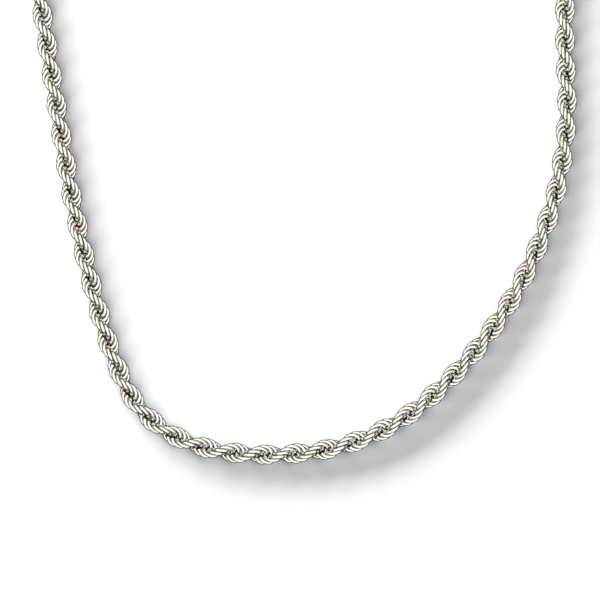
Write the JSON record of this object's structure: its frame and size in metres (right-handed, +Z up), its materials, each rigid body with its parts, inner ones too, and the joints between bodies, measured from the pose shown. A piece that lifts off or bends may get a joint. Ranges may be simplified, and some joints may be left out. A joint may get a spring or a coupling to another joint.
{
  "type": "chain necklace",
  "caption": "Rope chain necklace of linked open rings, unclasped and laid open in a U, with end caps, jump rings, a lobster clasp and a catch tag.",
  "frame": {"origin": "middle of the outline, on the table top that the necklace lies on", "axes": "+Z up from the table; +Y towards the two open ends; +X towards the catch tag's side, away from the clasp's side"},
  "size_m": [0.0892, 0.22, 0.0033],
  "materials": {
    "ring_silver": "polished silver",
    "bright_silver": "polished silver",
    "spring_steel": "plain drawn wire"
  },
  "bodies": {
    "section_01": {"rope_01": "ring_silver", "flex_01": "ring_silver", "end_cap_left": "bright_silver"},
    "section_02": {"rope_02": "ring_silver", "flex_02": "ring_silver"},
    "section_03": {"rope_03": "ring_silver", "flex_03": "ring_silver"},
    "section_04": {"rope_04": "ring_silver", "flex_04": "ring_silver"},
    "section_05": {"rope_05": "ring_silver", "flex_05": "ring_silver"},
    "section_06": {"rope_06": "ring_silver", "flex_06": "ring_silver"},
    "section_07": {"rope_07": "ring_silver", "flex_07": "ring_silver"},
    "section_08": {"rope_08": "ring_silver", "flex_08": "ring_silver"},
    "section_09": {"rope_09": "ring_silver", "flex_09": "ring_silver"},
    "section_10": {"rope_10": "ring_silver", "flex_10": "ring_silver"},
    "section_11": {"rope_11": "ring_silver", "flex_11": "ring_silver"},
    "section_12": {"rope_12": "ring_silver"},
    "section_13": {"rope_13": "ring_silver", "flex_12": "ring_silver"},
    "section_14": {"rope_14": "ring_silver", "flex_13": "ring_silver"},
    "section_15": {"rope_15": "ring_silver", "flex_14": "ring_silver"},
    "section_16": {"rope_16": "ring_silver", "flex_15": "ring_silver"},
    "section_17": {"rope_17": "ring_silver", "flex_16": "ring_silver"},
    "section_18": {"rope_18": "ring_silver", "flex_17": "ring_silver"},
    "section_19": {"rope_19": "ring_silver", "flex_18": "ring_silver"},
    "section_20": {"rope_20": "ring_silver", "flex_19": "ring_silver"},
    "section_21": {"rope_21": "ring_silver", "flex_20": "ring_silver"},
    "section_22": {"rope_22": "ring_silver", "flex_21": "ring_silver"},
    "section_23": {"rope_23": "ring_silver", "flex_22": "ring_silver", "end_cap_right": "bright_silver"},
    "jump_ring_left": {"jump_ring_left": "ring_silver"},
    "jump_ring_right": {"jump_ring_right": "ring_silver"},
    "clasp": {"clasp_body": "bright_silver", "clasp_pin": "spring_steel", "clasp_spring": "spring_steel"},
    "lever": {"clasp_lever": "bright_silver"},
    "catch_tag": {"catch_tag": "bright_silver"}
  },
  "joints": [
    {"name": "rope_bend_01", "type": "hinge", "parent": "section_02", "child": "section_01", "pos_m": [-0.04247, 0.07782, 0.00167], "axis": [0, 0, 1], "range_deg": [-15, 15], "deforming": ["flex_01"]},
    {"name": "rope_bend_02", "type": "hinge", "parent": "section_03", "child": "section_02", "pos_m": [-0.04309, 0.05851, 0.00167], "axis": [0, 0, -1], "range_deg": [-15, 15], "deforming": ["flex_02"]},
    {"name": "rope_bend_03", "type": "hinge", "parent": "section_04", "child": "section_03", "pos_m": [-0.04278, 0.03919, 0.00167], "axis": [0, 0, 1], "range_deg": [-15, 15], "deforming": ["flex_03"]},
    {"name": "rope_bend_04", "type": "hinge", "parent": "section_05", "child": "section_04", "pos_m": [-0.04156, 0.01991, 0.00167], "axis": [0, 0, -1], "range_deg": [-15, 15], "deforming": ["flex_04"]},
    {"name": "rope_bend_05", "type": "hinge", "parent": "section_06", "child": "section_05", "pos_m": [-0.0398, 0.00067, 0.00167], "axis": [0, 0, 1], "range_deg": [-15, 15], "deforming": ["flex_05"]},
    {"name": "rope_bend_06", "type": "hinge", "parent": "section_07", "child": "section_06", "pos_m": [-0.03763, -0.01852, 0.00167], "axis": [0, 0, -1], "range_deg": [-15, 15], "deforming": ["flex_06"]},
    {"name": "rope_bend_07", "type": "hinge", "parent": "section_08", "child": "section_07", "pos_m": [-0.03504, -0.03767, 0.00167], "axis": [0, 0, 1], "range_deg": [-15, 15], "deforming": ["flex_07"]},
    {"name": "rope_bend_08", "type": "hinge", "parent": "section_09", "child": "section_08", "pos_m": [-0.0321, -0.05676, 0.00167], "axis": [0, 0, -1], "range_deg": [-15, 15], "deforming": ["flex_08"]},
    {"name": "rope_bend_09", "type": "hinge", "parent": "section_10", "child": "section_09", "pos_m": [-0.02875, -0.07579, 0.00167], "axis": [0, 0, 1], "range_deg": [-15, 15], "deforming": ["flex_09"]},
    {"name": "rope_bend_10", "type": "hinge", "parent": "section_11", "child": "section_10", "pos_m": [-0.02363, -0.0944, 0.00167], "axis": [0, 0, -1], "range_deg": [-15, 15], "deforming": ["flex_10"]},
    {"name": "rope_bend_11", "type": "hinge", "parent": "section_12", "child": "section_11", "pos_m": [-0.01058, -0.10744, 0.00167], "axis": [0, 0, 1], "range_deg": [-15, 15], "deforming": ["flex_11"]},
    {"name": "rope_bend_12", "type": "hinge", "parent": "section_12", "child": "section_13", "pos_m": [0.00858, -0.10758, 0.00167], "axis": [0, 0, -1], "range_deg": [-15, 15], "deforming": ["flex_12"]},
    {"name": "rope_bend_13", "type": "hinge", "parent": "section_13", "child": "section_14", "pos_m": [0.02506, -0.09802, 0.00167], "axis": [0, 0, 1], "range_deg": [-15, 15], "deforming": ["flex_13"]},
    {"name": "rope_bend_14", "type": "hinge", "parent": "section_14", "child": "section_15", "pos_m": [0.03643, -0.0825, 0.00167], "axis": [0, 0, -1], "range_deg": [-15, 15], "deforming": ["flex_14"]},
    {"name": "rope_bend_15", "type": "hinge", "parent": "section_15", "child": "section_16", "pos_m": [0.04224, -0.06417, 0.00167], "axis": [0, 0, 1], "range_deg": [-15, 15], "deforming": ["flex_15"]},
    {"name": "rope_bend_16", "type": "hinge", "parent": "section_16", "child": "section_17", "pos_m": [0.04243, -0.04488, 0.00167], "axis": [0, 0, -1], "range_deg": [-15, 15], "deforming": ["flex_16"]},
    {"name": "rope_bend_17", "type": "hinge", "parent": "section_17", "child": "section_18", "pos_m": [0.04297, -0.02557, 0.00167], "axis": [0, 0, 1], "range_deg": [-15, 15], "deforming": ["flex_17"]},
    {"name": "rope_bend_18", "type": "hinge", "parent": "section_18", "child": "section_19", "pos_m": [0.04307, -0.00625, 0.00167], "axis": [0, 0, -1], "range_deg": [-15, 15], "deforming": ["flex_18"]},
    {"name": "rope_bend_19", "type": "hinge", "parent": "section_19", "child": "section_20", "pos_m": [0.04263, 0.01306, 0.00167], "axis": [0, 0, 1], "range_deg": [-15, 15], "deforming": ["flex_19"]},
    {"name": "rope_bend_20", "type": "hinge", "parent": "section_20", "child": "section_21", "pos_m": [0.0417, 0.03236, 0.00167], "axis": [0, 0, -1], "range_deg": [-15, 15], "deforming": ["flex_20"]},
    {"name": "rope_bend_21", "type": "hinge", "parent": "section_21", "child": "section_22", "pos_m": [0.04048, 0.05164, 0.00167], "axis": [0, 0, 1], "range_deg": [-15, 15], "deforming": ["flex_21"]},
    {"name": "rope_bend_22", "type": "hinge", "parent": "section_22", "child": "section_23", "pos_m": [0.03897, 0.0709, 0.00167], "axis": [0, 0, -1], "range_deg": [-15, 15], "deforming": ["flex_22"]},
    {"name": "jump_ring_left_swing", "type": "hinge", "parent": "section_01", "child": "jump_ring_left", "pos_m": [-0.04082, 0.0982, 0.00167], "axis": [0, 0, 1], "range_deg": [-30, 30]},
    {"name": "clasp_swing", "type": "hinge", "parent": "jump_ring_left", "child": "clasp", "pos_m": [-0.04058, 0.10069, 0.00167], "axis": [0, 0, 1], "range_deg": [-45, 45]},
    {"name": "lever_open", "type": "hinge", "parent": "clasp", "child": "lever", "pos_m": [-0.04161, 0.1039, 0.00167], "axis": [0, 0, -1], "range_deg": [0, 25], "stiffness_Nm_per_rad": 0.0002, "springref_deg": -17.19, "deforming": ["clasp_spring"]},
    {"name": "jump_ring_right_swing", "type": "hinge", "parent": "section_23", "child": "jump_ring_right", "pos_m": [0.03708, 0.09126, 0.00167], "axis": [0, 0, 1], "range_deg": [-30, 30]},
    {"name": "catch_tag_swing", "type": "hinge", "parent": "jump_ring_right", "child": "catch_tag", "pos_m": [0.03683, 0.09375, 0.00167], "axis": [0, 0, 1], "range_deg": [-45, 45]}
  ]
}
